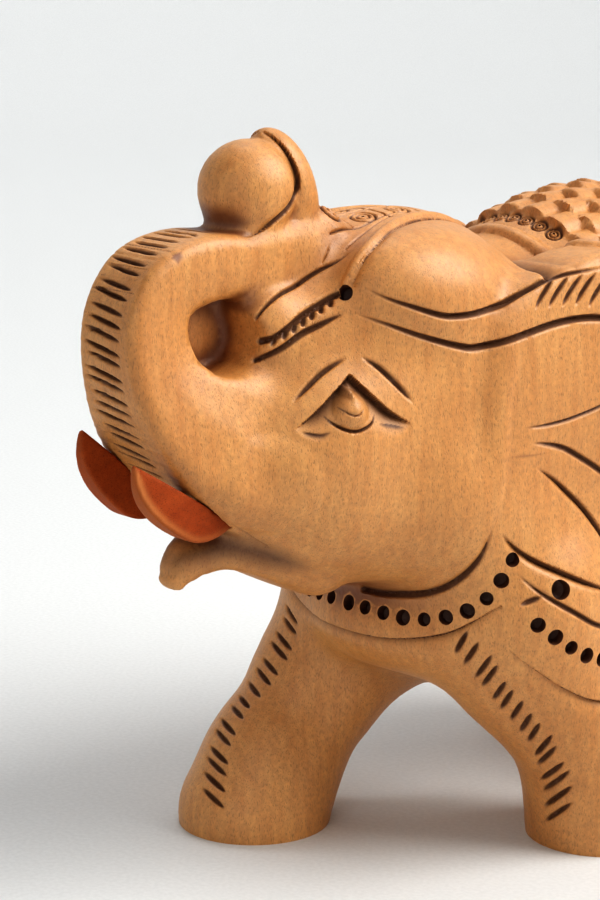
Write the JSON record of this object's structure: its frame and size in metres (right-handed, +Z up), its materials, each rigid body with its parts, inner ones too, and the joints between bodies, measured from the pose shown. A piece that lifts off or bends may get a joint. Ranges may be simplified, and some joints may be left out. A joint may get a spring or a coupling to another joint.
{
  "type": "carved wooden elephant figurine",
  "caption": "Walking elephant carved from one block of wood, trunk curled up over its head, with two push-fit crescent tusks of redder wood.",
  "frame": {"origin": "centre of the base, on the surface that the feet stand on", "axes": "+Z up; the elephant faces -Y and its left side is +X"},
  "size_m": [0.0936, 0.2106, 0.1565],
  "materials": {
    "pale_hardwood": "waxed, satin",
    "red_hardwood": "waxed, satin",
    "peg_wood": "bare"
  },
  "bodies": {
    "elephant": {"carved_body": "pale_hardwood"},
    "left_tusk": {"tusk_left": "red_hardwood", "tusk_peg_left": "peg_wood"},
    "right_tusk": {"tusk_right": "red_hardwood", "tusk_peg_right": "peg_wood"}
  },
  "joints": [
    {"name": "left_tusk_pull", "type": "slide", "parent": "elephant", "child": "left_tusk", "axis": [0, -0.5408, -0.8411], "range_m": [0, 0.009]},
    {"name": "right_tusk_pull", "type": "slide", "parent": "elephant", "child": "right_tusk", "axis": [0, -0.6787, -0.7344], "range_m": [0, 0.009]}
  ]
}
